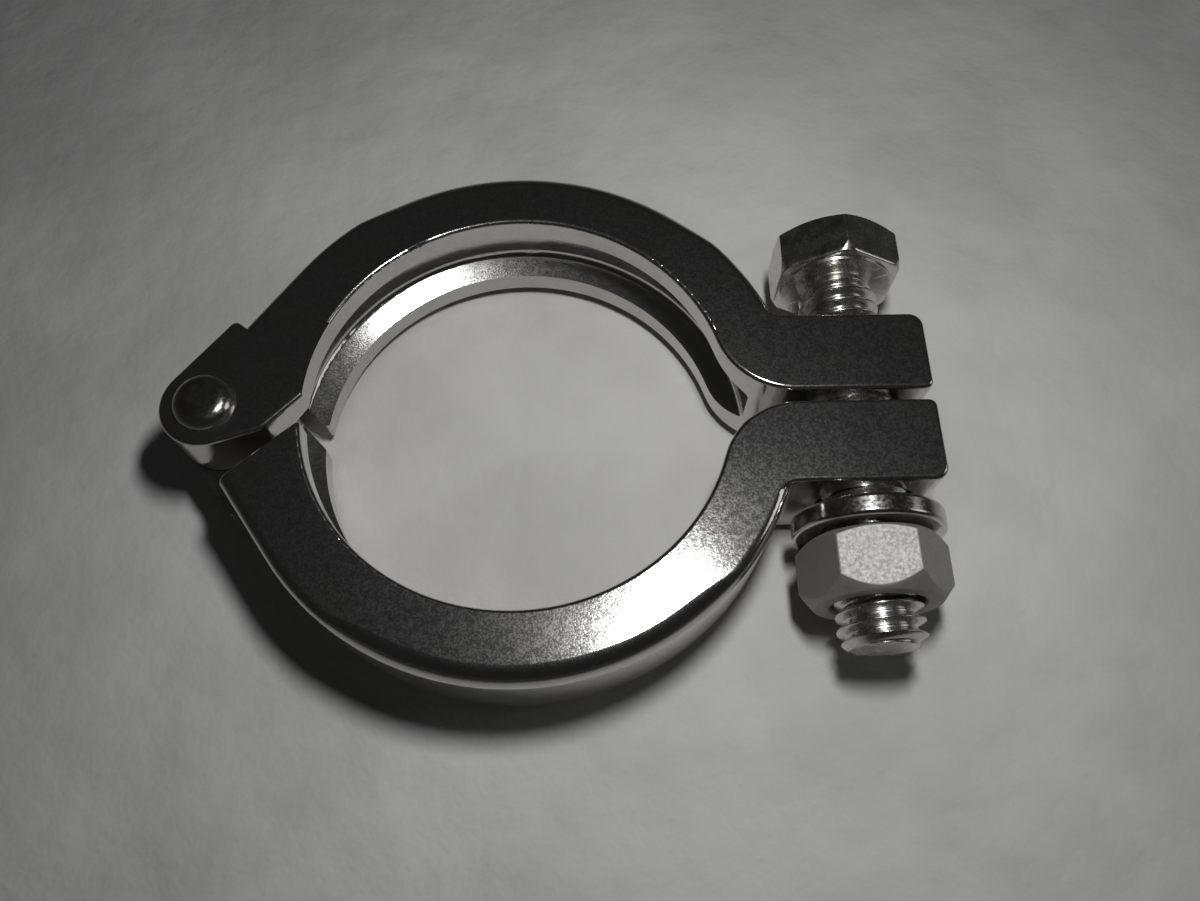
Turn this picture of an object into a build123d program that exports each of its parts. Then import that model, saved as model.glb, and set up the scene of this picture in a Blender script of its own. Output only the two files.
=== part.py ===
"""Hinged clamp for sanitary ferrules: two like castings on a rivet, drawn together by a bolt.

Millimetres, +Z up. The origin is the centre of the bore, half way up the ring.
The hinge is on -X, the bolting lugs are on +X and the bolt lies along Y.
"""
from build123d import *
from math import asin, cos, degrees, hypot, radians, sin, sqrt, tan
import os

# Ring of the jaws
RING_HEIGHT = 14.2
RING_RADIUS = 31.0
RING_EDGE_ROUND = 1.3
EDGE_ROUND = 0.5
CUT_EDGE_ROUND = 0.3
LIP_RADIUS = 23.5
LIP_LAND = 3.0
GROOVE_DEPTH = 2.8
FLANK_ANGLE = 25.0
FLANK_START = 145.0
GROOVE_ROOT_ROUND = 1.0
STUB_SLOPE = 41.0
STUB_REACH = 2.1

# Bolting lugs
BOLT_OUTSIDE_RING = 7.5
LUG_BEYOND_BOLT = 7.6
LUG_THICKNESS = 9.6
JAW_GAP = 1.3
LUG_BLEND = 9.0
LUG_BACK_BLEND = 2.5
LUG_OUTER_CORNER = 1.6
LUG_INNER_CORNER = 0.9
BOLT_HOLE_RADIUS = 5.55

# Lap hinge and its rivet
PIN_OUTSIDE_RING = 3.0
PIN_RADIUS = 2.38
PIN_RUNNING_CLEARANCE = 0.05
EAR_RADIUS = 5.0
EAR_FACE_CLEARANCE = 0.12
EAR_FLANK_ANGLE = 52.0
EAR_FLANK_LENGTH = 9.6
EAR_LOWER_ANGLE = 17.0
EAR_LOWER_LENGTH = 5.4
EAR_STEP_DEPTH = 3.9
EAR_TOE_ROUND = 2.6
EAR_CORNER_ROUND = 0.8
RIVET_HEAD_RADIUS = 3.5
RIVET_HEAD_HEIGHT = 1.5
RIVET_HEAD_FLAT = 1.5
RIVET_SHOULDER_RADIUS = 2.87
RIVET_SHOULDER_HEIGHT = 1.02

# Bolt, nut and lock washer
THREAD_RADIUS = 4.70
BOLT_LENGTH = 44.45
BOLT_HEAD_STANDOFF = 7.5
BOLT_LIFT = 0.35
BOLT_END_CHAMFER = 0.9
HEX_FLATS = 14.29
HEX_FACE_RADIUS = 6.79
HEAD_HEIGHT = 6.1
HEAD_WASHER_FACE = 0.4
HEAD_CHAMFER_ANGLE = 35.0
NUT_SEAT_CHAMFER_ANGLE = 35.0
NUT_OUTER_CHAMFER_ANGLE = 52.0
NUT_HEIGHT = 7.1
NUT_TURN = 10.0
HEAD_TURN = 30.0
NUT_RUNNING_CLEARANCE = 0.05
WASHER_INNER_RADIUS = 4.95
WASHER_OUTER_RADIUS = 8.35
WASHER_THICKNESS = 2.4
WASHER_RISE = 0.7
WASHER_SPLIT_ANGLE = 10.0
WASHER_SPLIT_AT = 205.0
WASHER_EDGE_ROUND = 0.5
WASHER_LUG_GAP = 1.6
WASHER_NUT_GAP = 0.05

# Slack for cutters, buried joins and comparisons
CUT_PAST = 2.0
JOIN_OVERLAP_ANGLE = 1.0
EAR_BURIED_ANGLE = 10.0
SAME_PLACE = 0.05
SAME_HEIGHT = 1e-4

BOLT_X = RING_RADIUS + BOLT_OUTSIDE_RING
LUG_END = BOLT_X + LUG_BEYOND_BOLT
PIN_X = RING_RADIUS + PIN_OUTSIDE_RING
HALF_HEIGHT = RING_HEIGHT / 2
WALL_MIDDLE = (LIP_RADIUS + RING_RADIUS) / 2
PARTING = JAW_GAP / 2
LUG_BACK = PARTING + LUG_THICKNESS
GROOVE_RADIUS = LIP_RADIUS + GROOVE_DEPTH
EAR_INNER_FACE = EAR_FACE_CLEARANCE / 2
PIN = Vector(-PIN_X, 0)
HEX_CORNER_RADIUS = HEX_FLATS / sqrt(3)
HEAD_SEAT = LUG_BACK + BOLT_HEAD_STANDOFF
WASHER_TOP = -LUG_BACK - WASHER_LUG_GAP
WASHER_BOTTOM = WASHER_TOP - WASHER_THICKNESS - WASHER_RISE
NUT_TOP = WASHER_BOTTOM - WASHER_NUT_GAP


def polar(radius, angle, centre=Vector(0, 0)):
    """Point at a radius and an angle in degrees from a centre, in plan."""
    return centre + Vector(radius * cos(radians(angle)), radius * sin(radians(angle)))


def top_and_bottom(edges, heights):
    """Edges that lie level at one of the given heights."""
    level = []
    for edge in edges:
        box = edge.bounding_box()
        flat = box.max.Z - box.min.Z < SAME_HEIGHT
        if flat and any(abs(box.min.Z - height) < SAME_HEIGHT for height in heights):
            level.append(edge)
    return level


def near_any(point, targets):
    """Whether a point, seen in plan, lies at one of the targets."""
    return any(hypot(point.X - target.X, point.Y - target.Y) < SAME_PLACE for target in targets)


def ring_section(inner_radius=LIP_RADIUS, inner_round=EDGE_ROUND):
    """Section of the ring before the groove: a bar with soft outer and crisp inner corners."""
    width = RING_RADIUS - inner_radius
    with BuildSketch(Plane.XZ) as section:
        with Locations((inner_radius + width / 2, 0)):
            Rectangle(width, RING_HEIGHT)
        fillet(section.vertices().group_by(Axis.X)[0], inner_round)
        fillet(section.vertices().group_by(Axis.X)[-1], RING_EDGE_ROUND)
    return section.sketch


def ring_arc(start, end):
    """Plain stretch of the ring between two angles."""
    return Rot(0, 0, start) * revolve(ring_section(), Axis.Z, end - start)


def groove_cutter():
    """Trapezoid groove that takes the ferrules' sloped rims, as one whole turn."""
    inside = LIP_RADIUS - CUT_PAST
    drop = tan(radians(FLANK_ANGLE))
    mouth = HALF_HEIGHT - LIP_LAND + CUT_PAST * drop
    root = HALF_HEIGHT - LIP_LAND - GROOVE_DEPTH * drop
    with BuildSketch(Plane.XZ) as section:
        with BuildLine():
            Polyline(
                (inside, -mouth), (GROOVE_RADIUS, -root), (GROOVE_RADIUS, root), (inside, mouth), close=True
            )
        make_face()
        fillet(section.vertices().group_by(Axis.X)[-1], GROOVE_ROOT_ROUND)
    return revolve(section.sketch, Axis.Z, 360)


def slab(outline, low, high):
    """Outline in plan, made solid between two heights."""
    return Pos(0, 0, low) * extrude(outline, high - low, dir=(0, 0, 1))


def lug():
    """Bolting lug, with the blend from the bore to the parting face and its own crisp edges."""
    blend_y = PARTING + LUG_BLEND
    blend_x = sqrt((LIP_RADIUS + LUG_BLEND) ** 2 - blend_y**2)
    start_angle = degrees(asin(blend_y / (LIP_RADIUS + LUG_BLEND)))
    start = polar(LIP_RADIUS, start_angle)
    blend_middle = Vector(blend_x, blend_y) + Vector(-1, 0).rotate(Axis.Z, (90 + start_angle) / 2) * LUG_BLEND
    back_centre_y = LUG_BACK + LUG_BACK_BLEND
    outside = RING_RADIUS - RING_EDGE_ROUND / 2
    back_centre_x = sqrt((outside + LUG_BACK_BLEND) ** 2 - back_centre_y**2)
    back_angle = degrees(asin(back_centre_y / (outside + LUG_BACK_BLEND)))
    back_end = polar(outside, back_angle)
    back_middle = Vector(back_centre_x, back_centre_y) + Vector(-1, 0).rotate(
        Axis.Z, (90 + back_angle) / 2
    ) * LUG_BACK_BLEND
    corners = [
        Vector(blend_x, PARTING),
        Vector(LUG_END, PARTING),
        Vector(LUG_END, LUG_BACK),
        Vector(back_centre_x, LUG_BACK),
    ]
    buried = [polar(WALL_MIDDLE, back_angle), polar(WALL_MIDDLE, start_angle)]
    with BuildSketch() as outline:
        with BuildLine():
            ThreePointArc(start, blend_middle, corners[0])
            Polyline(*corners)
            ThreePointArc(corners[-1], back_middle, back_end)
            Polyline(back_end, *buried, start)
        make_face()
        fillet(outline.vertices().sort_by_distance(corners[1])[0], LUG_INNER_CORNER)
        fillet(outline.vertices().sort_by_distance(corners[2])[0], LUG_OUTER_CORNER)
    body = slab(outline.sketch, -HALF_HEIGHT, HALF_HEIGHT)
    buried_middles = [(back_end + buried[0]) * 0.5, (buried[0] + buried[1]) * 0.5, (buried[1] + start) * 0.5]
    level = top_and_bottom(body.edges(), (-HALF_HEIGHT, HALF_HEIGHT))
    shown = [edge for edge in level if not near_any(edge @ 0.5, buried_middles)]
    return fillet(shown, EDGE_ROUND), start_angle


def cut_plane():
    """Upright plane of the cut that clears the other jaw's ear; its normal points at the hinge."""
    return Plane(origin=(-LIP_RADIUS, STUB_REACH, 0), x_dir=(0, 0, 1), z_dir=polar(1, 270 - STUB_SLOPE))


def hinge_end():
    """Full-height end of the ring on the hinge side: straight outer flank, cut clear of the ear."""
    flank_side = ring_section(LIP_RADIUS + GROOVE_DEPTH / 2)
    tangent = polar(1, FLANK_START + 90)
    flank = extrude(Rot(0, 0, FLANK_START) * flank_side, RING_RADIUS / 2, dir=tangent)
    whole = ring_arc(FLANK_START - JOIN_OVERLAP_ANGLE, 180) + flank
    plane = cut_plane()
    beyond = plane * Pos(0, 0, RING_RADIUS / 2) * Box(2 * RING_HEIGHT, 2 * RING_RADIUS, RING_RADIUS)
    kept = whole - beyond
    end_face = kept.faces().sort_by(lambda face: abs(plane.to_local_coords(face.center()).Z))[0]
    return fillet(end_face.edges(), CUT_EDGE_ROUND)


def ear():
    """Half-height hinge ear: round about the pin, a straight flank with a step, and a rounded toe."""
    flank_way = polar(1, EAR_FLANK_ANGLE)
    flank_start = polar(EAR_RADIUS, EAR_FLANK_ANGLE + 90, PIN)
    flank_corner = flank_start + flank_way * EAR_FLANK_LENGTH
    step_inner = flank_corner + polar(EAR_STEP_DEPTH, EAR_FLANK_ANGLE - 90)
    toe_start = polar(EAR_RADIUS, EAR_LOWER_ANGLE - 90, PIN)
    toe = toe_start + polar(1, EAR_LOWER_ANGLE) * EAR_LOWER_LENGTH
    bore_meeting = polar(LIP_RADIUS, 180 - degrees(asin(EAR_CORNER_ROUND / LIP_RADIUS)))
    buried_angle = FLANK_START + EAR_BURIED_ANGLE
    with BuildSketch() as outline:
        with BuildLine():
            Polyline(
                flank_start, flank_corner, step_inner, polar(WALL_MIDDLE, buried_angle),
                polar(LIP_RADIUS, buried_angle), polar(LIP_RADIUS - CUT_PAST, 180), bore_meeting,
                toe, toe_start, PIN, close=True,
            )
        make_face()
        fillet(outline.vertices().sort_by_distance(flank_corner)[0], EAR_CORNER_ROUND)
        fillet(outline.vertices().sort_by_distance(toe)[0], EAR_TOE_ROUND)
        with Locations(PIN):
            Circle(EAR_RADIUS)
    return outline.sketch


def rounded_ear():
    """The ear as a solid, from just above mid-height to the top face, with crisp top edges."""
    body = slab(ear(), EAR_INNER_FACE, HALF_HEIGHT)
    shown = []
    for edge in top_and_bottom(body.edges(), (HALF_HEIGHT,)):
        middle = edge @ 0.5
        out_of_ring = hypot(middle.X, middle.Y) > RING_RADIUS - RING_EDGE_ROUND
        if out_of_ring or middle.Y < STUB_REACH / 2:
            shown.append(edge)
    return fillet(shown, EDGE_ROUND)


def jaw(pin_hole_radius):
    """One casting: grooved half ring, bolting lug at one end and a half-height ear at the other."""
    lug_body, lug_angle = lug()
    body = ring_arc(lug_angle, FLANK_START) + lug_body + hinge_end() + rounded_ear()
    lip_cutter = revolve(
        Plane.XZ * Pos(LIP_RADIUS / 2, 0) * Rectangle(LIP_RADIUS, 2 * RING_HEIGHT), Axis.Z, 360
    )
    body = body - lip_cutter - groove_cutter()
    pin_hole = Pos(-PIN_X, 0, 0) * Cylinder(pin_hole_radius, 2 * RING_HEIGHT)
    lug_hole = Pos(BOLT_X, LUG_BACK / 2, 0) * Rot(90, 0, 0) * Cylinder(BOLT_HOLE_RADIUS, 2 * LUG_BACK)
    return body - pin_hole - lug_hole


def rivet():
    """Rivet with a low domed head formed on each end."""
    head_top = HALF_HEIGHT + RIVET_HEAD_HEIGHT
    rim = Vector(RIVET_HEAD_RADIUS, HALF_HEIGHT)
    flat = Vector(RIVET_HEAD_FLAT, head_top)
    shoulder = Vector(RIVET_SHOULDER_RADIUS, HALF_HEIGHT + RIVET_SHOULDER_HEIGHT)
    with BuildSketch(Plane.XZ) as section:
        with BuildLine():
            Polyline((0, 0), (PIN_RADIUS, 0), (PIN_RADIUS, HALF_HEIGHT), rim)
            ThreePointArc(rim, shoulder, flat)
            Polyline(flat, (0, head_top), (0, 0))
        make_face()
    half = revolve(section.sketch, Axis.Z, 360)
    return Pos(-PIN_X, 0, 0) * (half + Rot(180, 0, 0) * half)


def hexagon_prism(height, low_angle, high_angle, turn):
    """Hexagon bar standing on Z=0, its corners turned off at both ends by cones of the given slopes."""
    prism = extrude(Rot(0, 0, turn) * RegularPolygon(HEX_FLATS / 2, 6, major_radius=False), height)
    rim = HEX_CORNER_RADIUS - HEX_FACE_RADIUS
    low = rim * tan(radians(low_angle))
    high = height - rim * tan(radians(high_angle))
    with BuildSketch(Plane.XZ) as section:
        with BuildLine():
            Polyline(
                (0, 0), (HEX_FACE_RADIUS, 0), (HEX_CORNER_RADIUS, low),
                (HEX_CORNER_RADIUS, high), (HEX_FACE_RADIUS, height), (0, height), close=True,
            )
        make_face()
    return prism & revolve(section.sketch, Axis.Z, 360)


def bolt():
    """Hexagon-head bolt along Y, head on +Y, its plain shank at the size of the thread's crests."""
    head = Pos(0, 0, HEAD_WASHER_FACE) * hexagon_prism(
        HEAD_HEIGHT - HEAD_WASHER_FACE, HEAD_CHAMFER_ANGLE, HEAD_CHAMFER_ANGLE, HEAD_TURN
    )
    washer_face = Pos(0, 0, HEAD_WASHER_FACE / 2) * Cylinder(HEX_FACE_RADIUS, HEAD_WASHER_FACE)
    shank = Pos(0, 0, -BOLT_LENGTH / 2) * Cylinder(THREAD_RADIUS, BOLT_LENGTH)
    end_edge = shank.edges().filter_by(GeomType.CIRCLE).sort_by(Axis.Z)[0]
    shank = chamfer(end_edge, BOLT_END_CHAMFER)
    upright = head + washer_face + shank
    return Pos(BOLT_X, HEAD_SEAT, BOLT_LIFT) * Rot(-90, 0, 0) * upright


def nut():
    """Hexagon nut along Y, chamfered on both faces, with a plain bore just over the thread."""
    hole = Pos(0, 0, NUT_HEIGHT / 2) * Cylinder(THREAD_RADIUS + NUT_RUNNING_CLEARANCE, 2 * NUT_HEIGHT)
    upright = hexagon_prism(NUT_HEIGHT, NUT_SEAT_CHAMFER_ANGLE, NUT_OUTER_CHAMFER_ANGLE, NUT_TURN) - hole
    return Pos(BOLT_X, NUT_TOP, BOLT_LIFT) * Rot(90, 0, 0) * upright


def lock_washer():
    """Split spring washer along Y: a rounded square bar coiled through almost one turn."""
    middle_radius = (WASHER_INNER_RADIUS + WASHER_OUTER_RADIUS) / 2
    width = WASHER_OUTER_RADIUS - WASHER_INNER_RADIUS
    turn = 360 - WASHER_SPLIT_ANGLE
    pitch = WASHER_RISE * 360 / turn
    path = Helix(pitch, WASHER_RISE, middle_radius, lefthand=True)
    with BuildSketch(Plane.XZ * Pos(middle_radius, 0)) as section:
        RectangleRounded(width, WASHER_THICKNESS, WASHER_EDGE_ROUND)
    coil = sweep(section.sketch, path, is_frenet=True)
    return Pos(BOLT_X, WASHER_TOP - WASHER_THICKNESS / 2, BOLT_LIFT) * Rot(90, 0, 0) * Rot(
        0, 0, WASHER_SPLIT_AT
    ) * coil


def build():
    """Every piece in its place with the clamp closed, by node name."""
    return {
        "upper_jaw": jaw(PIN_RADIUS),
        "lower_jaw": Rot(180, 0, 0) * jaw(PIN_RADIUS + PIN_RUNNING_CLEARANCE),
        "hinge_rivet": rivet(),
        "clamp_bolt": bolt(),
        "lock_washer": lock_washer(),
        "hex_nut": nut(),
    }


os.makedirs("parts", exist_ok=True)
for name, piece in build().items():
    piece.label = name
    export_step(piece, f"parts/{name}.step")
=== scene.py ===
"""A hinged clamp for sanitary ferrules: two cast jaws on a rivet, drawn together by a bolt and a nut.

The jaws, the rivet and the lock washer are the solids of the model in their finishes, and the long outer
edges of the jaws are eased. The bolt and the nut are made here, with their turned corners and rolled
thread. Lengths are in metres, angles in radians unless a comment says degrees, and +Z is up.
"""

import logging
import math
from collections.abc import Sequence
from dataclasses import dataclass, field
from enum import Enum
from typing import Any, ClassVar

import bmesh
import bpy
from mathutils import Matrix, Vector


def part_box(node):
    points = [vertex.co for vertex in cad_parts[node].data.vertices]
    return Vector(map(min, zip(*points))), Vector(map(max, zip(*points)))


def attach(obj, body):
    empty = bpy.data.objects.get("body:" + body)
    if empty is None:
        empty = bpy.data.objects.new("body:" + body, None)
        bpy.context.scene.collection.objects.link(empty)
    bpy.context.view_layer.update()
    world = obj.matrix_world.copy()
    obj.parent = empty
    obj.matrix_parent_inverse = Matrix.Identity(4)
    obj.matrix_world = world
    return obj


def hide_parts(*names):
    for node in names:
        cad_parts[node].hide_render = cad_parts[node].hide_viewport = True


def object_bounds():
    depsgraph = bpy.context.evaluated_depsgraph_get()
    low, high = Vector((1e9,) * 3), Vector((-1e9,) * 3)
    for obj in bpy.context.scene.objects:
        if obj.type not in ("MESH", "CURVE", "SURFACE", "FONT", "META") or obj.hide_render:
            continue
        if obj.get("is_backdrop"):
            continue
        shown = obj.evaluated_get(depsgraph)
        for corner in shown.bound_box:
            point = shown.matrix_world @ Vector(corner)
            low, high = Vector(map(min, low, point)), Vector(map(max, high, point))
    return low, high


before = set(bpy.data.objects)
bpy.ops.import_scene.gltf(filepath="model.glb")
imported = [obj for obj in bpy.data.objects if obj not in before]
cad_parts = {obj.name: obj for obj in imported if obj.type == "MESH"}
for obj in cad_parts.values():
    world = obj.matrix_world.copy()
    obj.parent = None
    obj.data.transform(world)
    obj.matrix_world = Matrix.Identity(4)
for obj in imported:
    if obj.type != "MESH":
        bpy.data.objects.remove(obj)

log = logging.getLogger("sanitary_clamp")

MM = 0.001

Point = tuple[float, float]
Colour = tuple[float, float, float, float]


# ---------------------------------------------------------------- shader maths


class Value:
    """A socket's output, which takes part in Python expressions as a number does."""

    def __init__(self, shader: "Shader", socket: bpy.types.NodeSocket) -> None:
        """Wraps one output.

        Args:
            shader: The material that the socket is part of.
            socket: The output socket.
        """
        self.shader = shader
        self.socket = socket

    def _math(self, operation: str, first: "Term", second: "Term") -> "Value":
        """One Math node on two terms.

        Args:
            operation: The Math node's operation.
            first: The left term.
            second: The right term.

        Returns:
            The node's result.
        """
        return self.shader.node("ShaderNodeMath", {"operation": operation}, {0: first, 1: second})

    def __add__(self, other: "Term") -> "Value":
        """The sum."""
        return self._math("ADD", self, other)

    def __radd__(self, other: float) -> "Value":
        """The sum, with the number on the left."""
        return self._math("ADD", other, self)

    def __mul__(self, other: "Term") -> "Value":
        """The product."""
        return self._math("MULTIPLY", self, other)

    def __rmul__(self, other: float) -> "Value":
        """The product, with the number on the left."""
        return self._math("MULTIPLY", other, self)


Term = Value | float


class Shader:
    """A node tree in the making, for a material or for the world."""

    def __init__(self, owner: bpy.types.Material | bpy.types.World) -> None:
        """Empties the owner's node tree.

        Args:
            owner: The material or the world that gets the nodes.
        """
        owner.use_nodes = True
        self.tree = owner.node_tree
        self.tree.nodes.clear()

    def node(
        self,
        kind: str,
        settings: dict[str, Any] | None = None,
        sockets: dict[int | str, Any] | None = None,
        output: int | str = 0,
    ) -> Value:
        """Adds any node.

        Args:
            kind: The node's type.
            settings: Its properties, such as a Math node's operation.
            sockets: Values or links by the input's name or number.
            output: The output that the expression goes on with.

        Returns:
            That output.
        """
        made = self.tree.nodes.new(kind)
        for name, setting in (settings or {}).items():
            setattr(made, name, setting)
        for name, value in (sockets or {}).items():
            if isinstance(value, Value):
                self.tree.links.new(value.socket, made.inputs[name])
            else:
                made.inputs[name].default_value = value
        found = made.outputs[output] if len(made.outputs) else None
        return Value(self, found)

    def place(self) -> Value:
        """The point on the piece in metres, fixed to the piece."""
        return self.node("ShaderNodeTexCoord", output="Object")

    def noise(self, where: Value, grain: float, detail: float = 2.0, rough: float = 0.5) -> Value:
        """Soft noise from 0 to 1.

        Args:
            where: The point it is taken at.
            grain: The size of one patch in metres.
            detail: How many finer layers it has.
            rough: How strong the finer layers are.

        Returns:
            The noise.
        """
        sockets = {"Vector": where, "Scale": 1.0 / grain, "Detail": detail, "Roughness": rough}
        return self.node("ShaderNodeTexNoise", None, sockets, "Fac")

    def between(self, mask: Value, low: float, high: float, start: float = 0.0, end: float = 1.0) -> Value:
        """A mask carried over to another range, smooth at both ends.

        Args:
            mask: The value to carry over.
            low: What the range's start becomes.
            high: What the range's end becomes.
            start: Where the mask's range starts.
            end: Where it ends.

        Returns:
            The value in the new range.
        """
        sockets = {"Value": mask, "From Min": start, "From Max": end, "To Min": low, "To Max": high}
        return self.node("ShaderNodeMapRange", {"interpolation_type": "SMOOTHSTEP"}, sockets, "Result")

    def blend(self, mask: Value, first: Any, second: Any) -> Value:
        """One colour going over into another.

        Args:
            mask: 0 gives the first colour and 1 the second.
            first: A colour or a colour's value.
            second: The other.

        Returns:
            The mixed colour.
        """
        colour_a, colour_b, colour_out = 6, 7, 2
        sockets = {"Factor": mask, colour_a: first, colour_b: second}
        return self.node("ShaderNodeMix", {"data_type": "RGBA"}, sockets, colour_out)

    def bump(self, height: Value, depth: float, strength: float = 1.0, under: Value | None = None) -> Value:
        """A relief on the surface.

        Args:
            height: The relief, from 0 to 1.
            depth: How deep 1 is, in metres.
            strength: How much of it shows.
            under: The relief below it.

        Returns:
            The bent normal.
        """
        sockets = {"Height": height, "Distance": depth, "Strength": strength}
        if under is not None:
            sockets["Normal"] = under
        return self.node("ShaderNodeBump", None, sockets, "Normal")

    def surface(self, sockets: dict[str, Any]) -> None:
        """Ends the material in one principled surface.

        Args:
            sockets: Its values or links by name.
        """
        made = self.node("ShaderNodeBsdfPrincipled", None, sockets)
        self.node("ShaderNodeOutputMaterial", None, {"Surface": made})


# ---------------------------------------------------------------- finishes


@dataclass(frozen=True)
class CastStainless:
    """Investment-cast stainless steel, tumbled to a satin and then brightened.

    Attributes:
        name: The material's name.
        steel: The clean metal's colour.
        painted_reflection_tint: The colour of its darker, warmer patches, a painted brown reflection laid
            at random.
        satin: Roughness of the brightest patches.
        dull: Roughness of the dullest ones.
        haze: How rough the faint haze of fine scratches is.
        haze_low: How much of it there is where it is weakest.
        haze_high: How much where it is strongest.
        patch_grain: The size of the worn patches and of the warmer patches of painted brown reflection.
        mottle_grain: The size of the mottle inside them.
        speckle_grain: The size of the finest speckle.
        pit_depth: Depth of the fine skin left by the mould.
    """

    name: str = "cast_stainless"
    steel: Colour = (0.56, 0.55, 0.535, 1.0)
    painted_reflection_tint: Colour = (0.45, 0.40, 0.355, 1.0)
    satin: float = 0.10
    dull: float = 0.155
    haze: float = 0.45
    haze_low: float = 0.35
    haze_high: float = 0.9
    patch_grain: float = 7.0 * MM
    mottle_grain: float = 0.8 * MM
    speckle_grain: float = 0.20 * MM
    pit_depth: float = 0.006 * MM

    def material(self) -> bpy.types.Material:
        """The material, with worn patches, warmer patches of painted brown reflection, a fine mottle and a
        cast skin.
        """
        made = bpy.data.materials.new(self.name)
        shader = Shader(made)
        where = shader.place()
        patches = shader.noise(where, self.patch_grain, 2.0, 0.6)
        mottle = shader.noise(where, self.mottle_grain, 2.0, 0.6)
        speckle = shader.noise(where, self.speckle_grain, 1.0, 0.5)
        # Painted reflection: warmer, darker patches laid at random in the base colour stand in for brown
        # reflections in the metal.
        painted_reflection_mask = shader.between(patches * 0.7 + mottle * 0.3, 0.0, 0.5, 0.46, 0.68)
        colour = shader.blend(painted_reflection_mask, self.steel, self.painted_reflection_tint)
        wear = patches * 0.35 + mottle * 0.25 + speckle * 0.4
        rough = shader.between(wear, self.satin, self.dull, 0.35, 0.65)
        skin = shader.bump(mottle, self.pit_depth, 0.5)
        relief = shader.bump(speckle, self.pit_depth, 1.0, skin)
        haze = shader.between(speckle * 0.6 + mottle * 0.4, self.haze_low, self.haze_high, 0.38, 0.66)
        shader.surface(
            {
                "Base Color": colour,
                "Metallic": 1.0,
                "Roughness": rough,
                "Normal": relief,
                "Coat Weight": haze,
                "Coat Roughness": self.haze,
            }
        )
        return made


@dataclass(frozen=True)
class TurnedStainless:
    """Bright cold-headed stainless steel, with the faint rings that a lathe leaves on its faces.

    Attributes:
        name: The material's name.
        steel: The clean metal's colour.
        shade: The colour of its duller streaks.
        bright: Roughness of the bright parts.
        satin: Roughness of the rubbed parts.
        ring: How far apart the lathe's rings are.
        ring_depth: How deep they are.
        rub: How large the rubbed patches are.
        fine: The size of the finest grain.
    """

    name: str = "fastener_stainless"
    steel: Colour = (0.60, 0.59, 0.57, 1.0)
    shade: Colour = (0.52, 0.50, 0.47, 1.0)
    bright: float = 0.17
    satin: float = 0.32
    ring: float = 0.22 * MM
    ring_depth: float = 0.006 * MM
    rub: float = 1.6 * MM
    fine: float = 0.25 * MM

    def material(self) -> bpy.types.Material:
        """The material, with rings round the piece's own axis."""
        made = bpy.data.materials.new(self.name)
        shader = Shader(made)
        where = shader.place()
        flat = {0: where, 1: (1.0, 0.0, 1.0)}
        across = shader.node("ShaderNodeVectorMath", {"operation": "MULTIPLY"}, flat)
        radius = shader.node("ShaderNodeVectorMath", {"operation": "LENGTH"}, {0: across}, "Value")
        spacing = {"W": radius, "Scale": 1.0 / self.ring}
        rings = shader.node("ShaderNodeTexNoise", {"noise_dimensions": "1D"}, spacing, "Fac")
        rub = shader.noise(where, self.rub, 3.0, 0.6)
        fine = shader.noise(where, self.fine, 2.0, 0.6)
        colour = shader.blend(shader.between(rub, 0.0, 0.8, 0.45, 0.75), self.steel, self.shade)
        rough = shader.between(rub * 0.6 + fine * 0.4, self.bright, self.satin, 0.32, 0.68)
        lathe = shader.bump(rings, self.ring_depth, 0.5)
        relief = shader.bump(fine, self.ring_depth, 0.5, lathe)
        shader.surface({"Base Color": colour, "Metallic": 1.0, "Roughness": rough, "Normal": relief})
        return made


@dataclass(frozen=True)
class PeenedStainless:
    """Stainless steel struck to a dome, bright and slightly uneven.

    Attributes:
        name: The material's name.
        steel: The metal's colour.
        shade: Its colour in the dents.
        bright: Roughness of the smooth parts.
        satin: Roughness of the scuffed parts.
        dent: How wide the marks of the punch are.
        dent_depth: How deep they are.
        scuff: The size of the scuffs.
    """

    name: str = "rivet_stainless"
    steel: Colour = (0.60, 0.585, 0.565, 1.0)
    shade: Colour = (0.46, 0.43, 0.40, 1.0)
    bright: float = 0.14
    satin: float = 0.22
    dent: float = 2.0 * MM
    dent_depth: float = 0.02 * MM
    scuff: float = 0.35 * MM

    def material(self) -> bpy.types.Material:
        """The material, with shallow dents and scuffs."""
        made = bpy.data.materials.new(self.name)
        shader = Shader(made)
        where = shader.place()
        dents = shader.noise(where, self.dent, 1.0, 0.5)
        scuffs = shader.noise(where, self.scuff, 2.0, 0.6)
        colour = shader.blend(shader.between(dents, 0.0, 0.8, 0.48, 0.7), self.steel, self.shade)
        rough = shader.between(scuffs, self.bright, self.satin, 0.35, 0.65)
        relief = shader.bump(dents, self.dent_depth, 0.6)
        shader.surface({"Base Color": colour, "Metallic": 1.0, "Roughness": rough, "Normal": relief})
        return made


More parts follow.
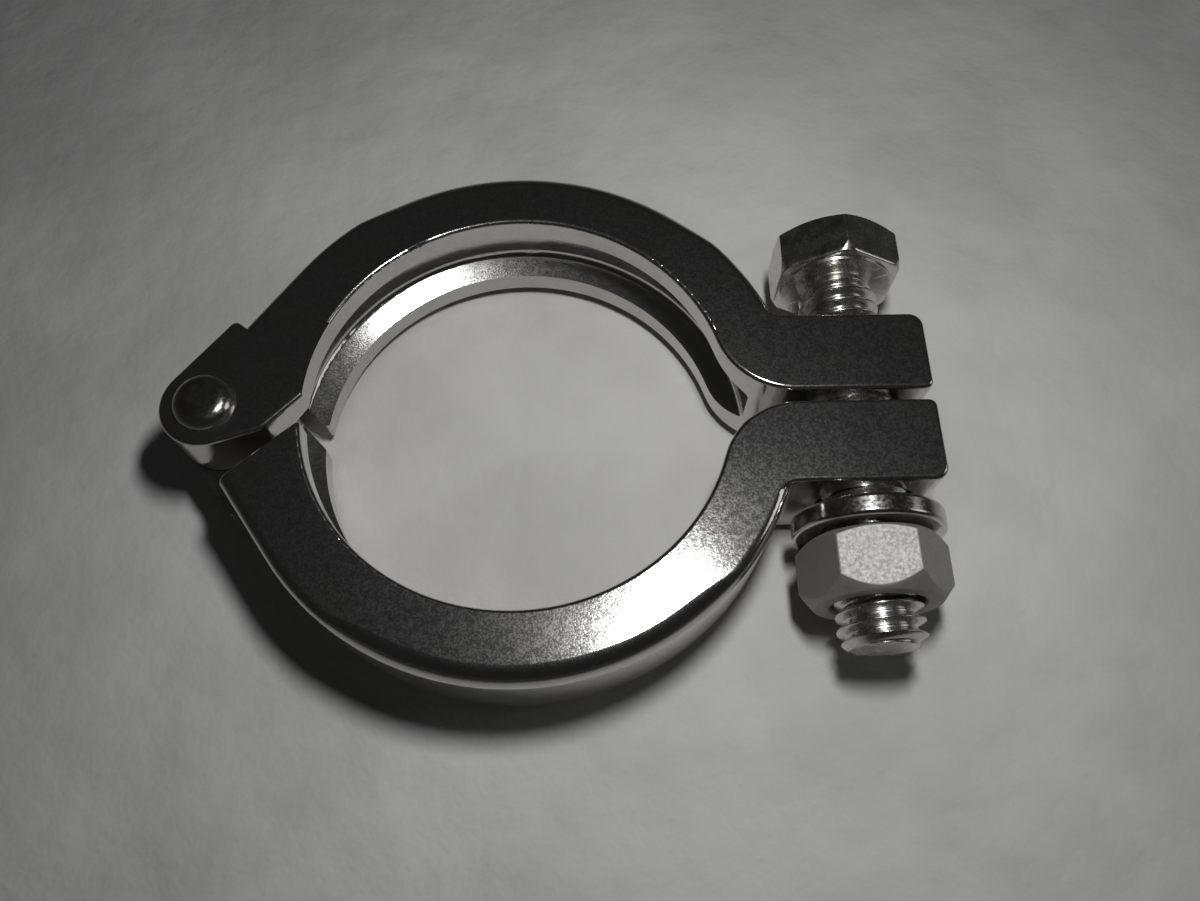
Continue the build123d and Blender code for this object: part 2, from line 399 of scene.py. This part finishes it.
@dataclass(frozen=True)
class PaleCloth:
    """A plain pale sheet with soft creases, on which the clamp lies.

    Attributes:
        name: The material's name.
        pale: The sheet's colour.
        grey: The colour of its hollows.
        hollow: How wide the hollows are.
        hollow_depth: How deep they are.
        crease: How wide the creases are.
        crease_depth: How deep they are.
        dull: Its roughness.
    """

    name: str = "pale_sheet"
    pale: Colour = (0.66, 0.655, 0.65, 1.0)
    grey: Colour = (0.57, 0.565, 0.56, 1.0)
    hollow: float = 28.0 * MM
    hollow_depth: float = 4.8 * MM
    crease: float = 9.0 * MM
    crease_depth: float = 1.2 * MM
    dull: float = 0.8

    def material(self) -> bpy.types.Material:
        """The material, with broad hollows and finer creases."""
        made = bpy.data.materials.new(self.name)
        shader = Shader(made)
        where = shader.place()
        hollows = shader.noise(where, self.hollow, 3.0, 0.55)
        creases = shader.noise(where, self.crease, 4.0, 0.6)
        colour = shader.blend(shader.between(hollows, 0.0, 1.0, 0.35, 0.65), self.pale, self.grey)
        soft = shader.bump(hollows, self.hollow_depth, 0.4)
        relief = shader.bump(creases, self.crease_depth, 0.5, soft)
        shader.surface({"Base Color": colour, "Roughness": self.dull, "Normal": relief})
        return made


# ---------------------------------------------------------------- turned shapes


def smooth(share: float) -> float:
    """A share held between 0 and 1, and eased at both ends."""
    held = min(1.0, max(0.0, share))
    return held * held * (3.0 - 2.0 * held)


def rounded(path: Sequence[Point], reach: float, most: float = 0.45, least: float = 1e-9) -> list[Point]:
    """Eases each inner corner of a path with a short curve.

    Args:
        path: The corners, from end to end.
        reach: How far along each side the curve starts.
        most: The largest share of a side that a curve may take.
        least: The shortest length that a side is taken to have.

    Returns:
        Three points for each inner corner, and the two ends.
    """
    eased = [path[0]]
    for before, corner, after in zip(path, path[1:], path[2:]):
        here, back, on = Vector(corner), Vector(before), Vector(after)
        first = here + (back - here) * min(most, reach / max((back - here).length, least))
        last = here + (on - here) * min(most, reach / max((on - here).length, least))
        eased += [tuple(first), tuple((first + 2.0 * here + last) / 4.0), tuple(last)]
    eased.append(path[-1])
    return eased


class Skin:
    """Points round an axis along Y, joined into one mesh."""

    def __init__(self) -> None:
        """Starts with nothing."""
        self.points: list[tuple[float, float, float]] = []
        self.faces: list[tuple[int, ...]] = []

    def column(self, angle: float, path: Sequence[Point]) -> int:
        """Adds a path's points at one angle round the axis.

        Args:
            angle: The angle from +Z towards +X.
            path: Its (along, out) points.

        Returns:
            The first point's number.
        """
        first = len(self.points)
        self.points += [(out * math.sin(angle), along, out * math.cos(angle)) for along, out in path]
        return first

    def wrap(self, angles: Sequence[float], paths: Sequence[Sequence[Point]], closed: bool) -> None:
        """Skins paths of one length that stand side by side round the axis.

        Args:
            angles: Each path's angle.
            paths: The paths.
            closed: Whether each path ends where it starts.
        """
        starts = [self.column(angle, path) for angle, path in zip(angles, paths)]
        length = len(paths[0])
        spans = length if closed else length - 1
        for first, second in zip(starts, starts[1:] + starts[:1]):
            for i in range(spans):
                j = (i + 1) % length
                self.faces.append((first + i, second + i, second + j, first + j))

    def piece(self, name: str, centre: Vector, merge: float = 1e-7) -> bpy.types.Object:
        """Makes the mesh with its axis through a point.

        Args:
            name: The piece's name.
            centre: Where the axis and the along-coordinate start.
            merge: Points nearer together than this become one.

        Returns:
            The new object.
        """
        mesh = bpy.data.meshes.new(name)
        mesh.from_pydata(self.points, [], self.faces)
        work = bmesh.new()
        work.from_mesh(mesh)
        bmesh.ops.remove_doubles(work, verts=work.verts, dist=merge)
        bmesh.ops.dissolve_degenerate(work, dist=merge, edges=work.edges)
        bmesh.ops.recalc_face_normals(work, faces=work.faces)
        work.to_mesh(mesh)
        work.free()
        mesh.shade_smooth()
        made = bpy.data.objects.new(name, mesh)
        made.location = centre
        bpy.context.scene.collection.objects.link(made)
        even = made.modifiers.new("even_shading", "WEIGHTED_NORMAL")
        even.mode = "FACE_AREA"
        return made


class Turn(Enum):
    """How a hexagon stands about its axis: the angle from +Z to the middle of a flat."""

    FLAT_TILTED_TO_HINGE = math.radians(-10.0)
    CORNER_UP = math.radians(30.0)


@dataclass
class Hexagon:
    """The outline of a hexagon bar with eased corners.

    Attributes:
        flats: The distance across flats.
        corner: The radius of each corner.
        turn: How it stands.
        corner_steps: Faces round one corner.
        flat_steps: Faces along one flat.
    """

    flats: float
    turn: Turn
    corner: float = 0.35 * MM
    corner_steps: int = 6
    flat_steps: int = 14

    def outline(self) -> list[Point]:
        """The (angle, out) points once round."""
        spread = math.radians(30.0)
        out = (self.flats / 2 - self.corner) / math.cos(spread)
        corners = []
        for side in range(6):
            middle = self.turn.value + spread + math.radians(60.0) * side
            for step in range(self.corner_steps + 1):
                face = middle - spread + 2.0 * spread * step / self.corner_steps
                x = out * math.sin(middle) + self.corner * math.sin(face)
                z = out * math.cos(middle) + self.corner * math.cos(face)
                corners.append(Vector((x, z)))
        points = []
        for i, here in enumerate(corners):
            points.append(here)
            if i % (self.corner_steps + 1) == self.corner_steps:
                on = corners[(i + 1) % len(corners)]
                points += [here.lerp(on, step / self.flat_steps) for step in range(1, self.flat_steps)]
        return [(math.atan2(p.x, p.y), p.length) for p in points]


@dataclass
class RolledThread:
    """A right-hand thread rolled on a bar, with soft crests and roots.

    Attributes:
        crest: The radius over the crests.
        pitch: The distance from crest to crest.
        low: Where the bar's free end is.
        high: Where the thread runs out.
        end_chamfer: How far the free end is turned down.
        root_depth: How deep the thread is, as a share of its pitch.
        run_out: Over how many pitches it fades into the head.
        steps: Faces once round.
        dish: How far the free end is hollow.
        CREST_TO_ROOT: One flank's (along, depth) points, as shares of the pitch and of the depth.
    """

    crest: float
    low: float
    high: float
    end_chamfer: float
    pitch: float = 1.5875 * MM
    root_depth: float = 0.6134
    run_out: float = 1.2
    steps: int = 72
    dish: float = 0.06 * MM

    CREST_TO_ROOT: ClassVar[tuple[Point, ...]] = (
        (0.0, 0.0), (0.042, 0.01), (0.075, 0.07), (0.11, 0.165), (0.17, 0.35), (0.23, 0.54),
        (0.29, 0.73), (0.34, 0.88), (0.38, 0.96), (0.44, 0.995), (0.5, 1.0),
    )

    @property
    def root(self) -> float:
        """The radius at the thread's root."""
        return self.crest - self.root_depth * self.pitch

    def _one_pitch(self) -> list[Point]:
        """The (along, depth) points from one crest to the next, as shares of pitch and depth."""
        down = list(self.CREST_TO_ROOT)
        up = [(1.0 - along, depth) for along, depth in reversed(down[1:-1])]
        return down + up

    def _end_limit(self, along: float) -> float:
        """The most that the bar may stand out at a place, near its two ends."""
        from_end = along - self.low
        chamfer = self.crest - self.end_chamfer + from_end
        share = smooth((self.high - along) / (self.run_out * self.pitch))
        return min(chamfer, self.root + (self.crest - self.root) * share)

    def add_to(self, skin: Skin) -> None:
        """Adds the threaded bar, with its free end closed.

        Args:
            skin: The skin that it goes into.
        """
        shape = self._one_pitch()
        spare_turns, lead_in = 3, 1.5
        turns = int((self.high - self.low) / self.pitch) + spare_turns
        rows = []
        for row in range(turns * len(shape)):
            turn, place = divmod(row, len(shape))
            along, depth = shape[place]
            line = []
            for step in range(self.steps):
                share = step / self.steps
                y = self.low + self.pitch * (turn - lead_in + along + share)
                y = min(max(y, self.low), self.high)
                out = min(self.crest - depth * (self.crest - self.root), self._end_limit(y))
                angle = 2.0 * math.pi * share
                line.append((out * math.sin(angle), y, out * math.cos(angle)))
            rows.append(line)
        first = len(skin.points)
        for line in rows:
            skin.points += line
        for row in range(len(rows) - 1):
            for step in range(self.steps):
                on = step + 1
                jump = 0
                if on == self.steps:
                    on, jump = 0, len(shape)
                if row + 1 + jump >= len(rows):
                    continue
                here = first + row * self.steps + step
                side = first + (row + jump) * self.steps + on
                skin.faces.append((here, side, side + self.steps, here + self.steps))
        rim = self.crest - self.end_chamfer
        shallow, deep = self.low + self.dish * 2 / 3, self.low + self.dish
        dish = [(self.low, rim), (self.low, 0.9 * rim), (shallow, 0.5 * rim), (deep, 0.0)]
        angles = [2.0 * math.pi * step / self.steps for step in range(self.steps)]
        skin.wrap(angles, [dish] * self.steps, False)


# ---------------------------------------------------------------- sub-assemblies


@dataclass
class EdgeCutter:
    """A form cutter that eases the long outer edges of a jaw's ring more fully than its ends.

    Attributes:
        ease: The radius of the eased edge along the middle of the ring.
        start: The angle in degrees from +X at which the easing starts, past the lug.
        end: The angle in degrees at which it ends, before the ear.
        fade: The degrees over which it comes in and goes out.
        step: The degrees between two sections.
        arc_steps: Faces across the eased edge.
        past: How far the cutter stands clear of the metal.
        overlap: How far its edge reaches over the flat face.
        least: The radius that it starts with.
    """

    ease: float = 2.3 * MM
    start: float = 29.0
    end: float = 141.0
    fade: float = 24.0
    step: float = 2.0
    arc_steps: int = 10
    past: float = 1.0 * MM
    overlap: float = 0.02 * MM
    least: float = 0.2 * MM

    def _section(self, angle: float, ring: float, half: float) -> list[Point]:
        """One section of the cutter.

        Args:
            angle: Its angle from +X in degrees.
            ring: The ring's outer radius.
            half: Half the ring's height.

        Returns:
            The (out, up) points once round.
        """
        share = smooth(min(angle - self.start, self.end - angle) / self.fade)
        radius = self.least + (self.ease - self.least) * share
        out, up = ring - radius, half - radius + self.overlap
        turns = [math.radians(90.0) * i / self.arc_steps for i in range(self.arc_steps + 1)]
        arc = [(out + radius * math.sin(turn), up + radius * math.cos(turn)) for turn in turns]
        return arc + [(ring + self.past, up), (ring + self.past, half + self.past), (out, half + self.past)]

    def _add_edge(
        self, work: bmesh.types.BMesh, ring: float, half: float, side: float, edge: float
    ) -> None:
        """Adds the part of the cutter that eases one edge.

        Args:
            work: The mesh that it goes into.
            ring: The ring's outer radius.
            half: Half the ring's height.
            side: 1 for the jaw on the +Y side, and -1 for the other.
            edge: 1 for the upper edge, and -1 for the lower one.
        """
        rows = []
        for i in range(round((self.end - self.start) / self.step) + 1):
            angle = self.start + self.step * i
            x, y = math.cos(math.radians(angle)), side * math.sin(math.radians(angle))
            section = self._section(angle, ring, half)
            rows.append([work.verts.new((out * x, out * y, edge * up)) for out, up in section])
        for first, second in zip(rows, rows[1:]):
            for j in range(len(first)):
                k = (j + 1) % len(first)
                work.faces.new((first[j], first[k], second[k], second[j]))
        work.faces.new(rows[0])
        work.faces.new(list(reversed(rows[-1])))

    def build(self, node: str) -> bpy.types.Object:
        """Makes the hidden cutter for one jaw, for its upper and lower edge.

        Args:
            node: The jaw's solid.

        Returns:
            The cutter.
        """
        low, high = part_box(node)
        side = 1.0 if high.y > -low.y else -1.0
        ring, half = max(high.y, -low.y), (high.z - low.z) / 2
        name = node + "_edge_cutter"
        mesh = bpy.data.meshes.new(name)
        work = bmesh.new()
        for edge in (1.0, -1.0):
            self._add_edge(work, ring, half, side, edge)
        bmesh.ops.recalc_face_normals(work, faces=work.faces)
        work.to_mesh(mesh)
        work.free()
        mesh.shade_smooth()
        cutter = bpy.data.objects.new(name, mesh)
        bpy.context.scene.collection.objects.link(cutter)
        cutter.hide_render = True
        return cutter


@dataclass
class Castings:
    """The two jaws, which are one casting used twice.

    Attributes:
        finish: Their metal.
        bodies: The solids' names, which are their bodies' names as well.
        cutter: The easing of their long outer edges.
        crease: The angle above which an edge stays sharp.
        weld: Points nearer together than this become one.
    """

    finish: CastStainless = CastStainless()
    bodies: tuple[str, ...] = ("lower_jaw", "upper_jaw")
    cutter: EdgeCutter = field(default_factory=EdgeCutter)
    crease: float = math.radians(28.0)
    weld: float = 0.0001 * MM

    def build(self) -> list[bpy.types.Object]:
        """Dresses both solids in one metal and eases their edges."""
        metal = self.finish.material()
        return [self._ease(dress(node, metal), node) for node in self.bodies]

    def _ease(self, solid: bpy.types.Object, node: str) -> bpy.types.Object:
        """Cuts one jaw's long outer edges round.

        Args:
            solid: The jaw.
            node: Its name, which is its body's as well.

        Returns:
            The jaw.
        """
        cutter = self.cutter.build(node)
        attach(cutter, node)
        weld = solid.modifiers.new("weld", "WELD")
        weld.merge_threshold = self.weld
        cut = solid.modifiers.new("ease_edges", "BOOLEAN")
        cut.operation = "DIFFERENCE"
        cut.solver = "EXACT"
        cut.object = cutter
        split = solid.modifiers.new("sharp_edges", "EDGE_SPLIT")
        split.split_angle = self.crease
        even = solid.modifiers.new("even_shading", "WEIGHTED_NORMAL")
        even.mode = "FACE_AREA"
        return solid


@dataclass
class HingeRivet:
    """The rivet that the jaws turn on.

    Attributes:
        finish: Its metal.
        node: The solid's name.
    """

    finish: PeenedStainless = PeenedStainless()
    node: str = "hinge_rivet"

    def build(self) -> list[bpy.types.Object]:
        """Dresses the solid."""
        return [dress(self.node, self.finish.material())]


@dataclass
class LockWasher:
    """The split spring washer under the nut.

    Attributes:
        finish: Its metal.
        node: The solid's name.
    """

    finish: PeenedStainless = PeenedStainless(name="spring_stainless")
    node: str = "lock_washer"

    def build(self) -> list[bpy.types.Object]:
        """Dresses the solid."""
        return [dress(self.node, self.finish.material())]


@dataclass
class ClampBolt:
    """The hexagon-head bolt, threaded all the way to its head.

    Attributes:
        finish: Its metal.
        flats: The head's distance across flats.
        head: The head's height, with its washer face.
        washer_face: The height of the washer face.
        face: The radius of the head's flat faces.
        chamfer: The slope of the chamfer on the head's top.
        corner_cut: How far in the corners are cut on the underside.
        corner_slope: The slope of that cut.
        thread: The radius over the thread's crests.
        thread_start: How far the thread reaches into the head.
        end_chamfer: How far the free end is turned down.
        edge: How far its edges are eased.
        node: The solid that it stands for.
    """

    finish: TurnedStainless = TurnedStainless()
    flats: float = 14.27 * MM
    head: float = 6.1 * MM
    washer_face: float = 0.4 * MM
    face: float = 6.79 * MM
    chamfer: float = math.radians(30.0)
    corner_cut: float = 7.75 * MM
    corner_slope: float = math.radians(70.0)
    thread: float = 4.69 * MM
    thread_start: float = 0.1 * MM
    end_chamfer: float = 0.95 * MM
    edge: float = 0.12 * MM
    node: str = "clamp_bolt"

    def build(self) -> list[bpy.types.Object]:
        """Makes the bolt on the solid's own axis."""
        low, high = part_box(self.node)
        centre = Vector(((low.x + high.x) / 2, high.y - self.head, (low.z + high.z) / 2))
        skin = Skin()
        angles, paths = [], []
        for angle, out in Hexagon(self.flats, Turn.CORNER_UP).outline():
            top = (out - self.face) * math.tan(self.chamfer)
            under = max(out - self.corner_cut, self.edge) * math.tan(self.corner_slope)
            corners = [
                (0.0, 0.0), (0.0, self.face - self.edge), (self.washer_face, self.face - self.edge),
                (self.washer_face, min(out - self.edge, self.corner_cut)), (self.washer_face + under, out),
                (self.head - top, out), (self.head, self.face), (self.head, 0.0),
            ]
            angles.append(angle)
            paths.append(rounded(corners, self.edge))
        skin.wrap(angles, paths, False)
        RolledThread(self.thread, low.y - centre.y, self.thread_start, self.end_chamfer).add_to(skin)
        made = skin.piece("bolt_with_thread", centre)
        return [stand_in(made, self.finish.material(), "bolt", self.node)]


@dataclass
class HexNut:
    """The hexagon nut, with a steeper chamfer on its outer side.

    Attributes:
        finish: Its metal.
        flats: The distance across flats.
        face: The radius of its flat faces.
        seat_chamfer: The slope of the chamfer towards the washer.
        outer_chamfer: The slope of the chamfer on the outer side.
        bore: The radius of its hole.
        countersink: How deep the hole's mouth is turned out.
        edge: How far its edges are eased.
        node: The solid that it stands for.
    """

    finish: TurnedStainless = TurnedStainless(
        name="nut_stainless",
        steel=(0.43, 0.425, 0.41, 1.0),
        shade=(0.37, 0.36, 0.34, 1.0),
        bright=0.60,
        satin=0.74,
        rub=0.4 * MM,
    )
    flats: float = 14.27 * MM
    face: float = 6.79 * MM
    seat_chamfer: float = math.radians(35.0)
    outer_chamfer: float = math.radians(52.0)
    bore: float = 4.75 * MM
    countersink: float = 0.45 * MM
    edge: float = 0.13 * MM
    node: str = "hex_nut"

    def build(self) -> list[bpy.types.Object]:
        """Makes the nut on the solid's own axis."""
        low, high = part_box(self.node)
        height = high.y - low.y
        centre = Vector(((low.x + high.x) / 2, low.y, (low.z + high.z) / 2))
        skin = Skin()
        angles, paths = [], []
        for angle, out in Hexagon(self.flats, Turn.FLAT_TILTED_TO_HINGE).outline():
            outer = (out - self.face) * math.tan(self.outer_chamfer)
            seat = (out - self.face) * math.tan(self.seat_chamfer)
            mouth = self.bore + self.countersink
            corners = [
                (self.countersink, self.bore), (0.0, mouth), (0.0, self.face), (outer, out),
                (height - seat, out), (height, self.face), (height, mouth),
                (height - self.countersink, self.bore), (self.countersink, self.bore),
            ]
            angles.append(angle)
            paths.append(rounded(corners, self.edge))
        skin.wrap(angles, paths, False)
        made = skin.piece("nut_with_chamfers", centre)
        return [stand_in(made, self.finish.material(), "nut", self.node)]


def dress(node: str, finish: bpy.types.Material) -> bpy.types.Object:
    """Gives a solid of the model its finish.

    Args:
        node: The solid's name.
        finish: Its material.

    Returns:
        The solid's object.
    """
    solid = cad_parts[node]
    for slot in solid.material_slots:
        slot.material = finish
    return solid


def stand_in(piece: bpy.types.Object, finish: bpy.types.Material, body: str, node: str) -> bpy.types.Object:
    """Lets a made piece stand for a solid and move with its body.

    Args:
        piece: The made piece.
        finish: Its material.
        body: The body that it rides on.
        node: The solid that it replaces.

    Returns:
        The piece.
    """
    piece.data.materials.append(finish)
    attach(piece, body)
    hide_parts(node)
    return piece


# ---------------------------------------------------------------- the studio


@dataclass(frozen=True)
class Lamp:
    """A soft oval lamp.

    Attributes:
        name: Its name.
        place: Where it hangs.
        width: How wide it is.
        length: How long it is.
        power: Its power in watts.
        target: The point that it faces.
    """

    name: str
    place: tuple[float, float, float]
    width: float
    length: float
    power: float
    target: tuple[float, float, float] = (0.02, 0.0, 0.0)

    def hang(self) -> None:
        """Adds the lamp to the scene."""
        light = bpy.data.lights.new(self.name, "AREA")
        light.shape = "ELLIPSE"
        light.size = self.width
        light.size_y = self.length
        light.energy = self.power
        made = bpy.data.objects.new(self.name, light)
        made.location = self.place
        aim = Vector(self.target) - made.location
        made.rotation_euler = aim.to_track_quat("-Z", "Y").to_euler()
        bpy.context.scene.collection.objects.link(made)


@dataclass
class Studio:
    """The sheet that the clamp lies on, the lamps round it and the dim room.

    Attributes:
        sheet: The sheet's finish.
        sheet_reach: Half the sheet's width.
        sheet_steps: How many squares the sheet's grid has along a side.
        lamps: The main lamp overhead, and the weak one on the right.
        overhead: The room's grey overhead.
        horizon: Its grey at the horizon.
        rise: How high above the horizon, as the sine of the angle, it has become the overhead grey.
    """

    sheet: PaleCloth = PaleCloth()
    sheet_reach: float = 0.6
    sheet_steps: int = 48
    lamps: tuple[Lamp, ...] = (
        Lamp("overhead_lamp", (0.025, -0.003, 0.112), 0.012, 0.026, 0.085, (0.025, 0.0, 0.0)),
        Lamp("right_lamp", (0.34, 0.02, 0.16), 0.16, 0.16, 0.06),
    )
    overhead: float = 0.014
    horizon: float = 0.03
    rise: float = 0.35

    def build(self, floor: float) -> None:
        """Lays the sheet and hangs the lamps.

        Args:
            floor: The height of the sheet.
        """
        self._lay_sheet(floor)
        for lamp in self.lamps:
            lamp.hang()
        self._shade_room()

    def _lay_sheet(self, floor: float) -> None:
        """Makes the sheet as a fine grid.

        Args:
            floor: The height of the sheet.
        """
        mesh = bpy.data.meshes.new("pale_sheet")
        work = bmesh.new()
        bmesh.ops.create_grid(
            work, x_segments=self.sheet_steps, y_segments=self.sheet_steps, size=self.sheet_reach
        )
        work.to_mesh(mesh)
        work.free()
        mesh.shade_smooth()
        sheet = bpy.data.objects.new("pale_sheet", mesh)
        sheet.location = (0.0, 0.0, floor)
        sheet.data.materials.append(self.sheet.material())
        bpy.context.scene.collection.objects.link(sheet)
        sheet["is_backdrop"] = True

    def _shade_room(self) -> None:
        """Makes the room dim overhead and paler towards the horizon."""
        world = bpy.data.worlds.new("dim_room")
        bpy.context.scene.world = world
        shader = Shader(world)
        way = shader.node("ShaderNodeTexCoord", output="Generated")
        height = shader.node("ShaderNodeSeparateXYZ", None, {0: way}, "Z")
        grey = shader.between(height, self.horizon, self.overhead, 0.0, self.rise)
        white = (1.0, 1.0, 1.0, 1.0)
        room = shader.node("ShaderNodeBackground", None, {"Color": white, "Strength": grey})
        shader.node("ShaderNodeOutputWorld", None, {"Surface": room})


@dataclass
class Viewpoint:
    """The camera over the clamp.

    Attributes:
        place: Where it stands.
        pitch: How far it looks down, in degrees.
        yaw: How far it is turned about the vertical, in degrees.
        roll: How far it is tipped about its own axis, in degrees.
        lens: Its focal length in millimetres.
        sensor: The width of its sensor in millimetres.
        near: Where its view starts.
        far: Where its view ends.
    """

    place: tuple[float, float, float] = (8.05 * MM, -48.0 * MM, 100.9 * MM)
    pitch: float = 66.08
    yaw: float = -1.374
    roll: float = 0.377
    lens: float = 28.86
    sensor: float = 36.0
    near: float = 2.0 * MM
    far: float = 10.0

    def build(self) -> None:
        """Sets up the scene's camera."""
        data = bpy.data.cameras.new("viewpoint")
        data.lens = self.lens
        data.sensor_width = self.sensor
        data.clip_start = self.near
        data.clip_end = self.far
        camera = bpy.data.objects.new("viewpoint", data)
        down = Matrix.Rotation(math.radians(90.0 - self.pitch), 4, "X")
        turned = Matrix.Rotation(math.radians(self.yaw), 4, "Z")
        tipped = Matrix.Rotation(math.radians(self.roll), 4, "Z")
        camera.matrix_world = Matrix.Translation(self.place) @ turned @ down @ tipped
        bpy.context.scene.collection.objects.link(camera)
        bpy.context.scene.camera = camera


def main() -> None:
    """Builds the clamp and its surroundings in order, and logs the faces of each piece."""
    logging.basicConfig(level=logging.INFO, format="%(message)s")
    solid_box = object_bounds()
    for assembly in (Castings(), HingeRivet(), ClampBolt(), LockWasher(), HexNut()):
        for piece in assembly.build():
            log.info("%s: %s, %d faces", type(assembly).__name__, piece.name, len(piece.data.polygons))
    Studio().build(solid_box[0].z)
    Viewpoint().build()
    bpy.context.scene.view_settings.view_transform = "Standard"


if __name__ == "__main__":
    main()
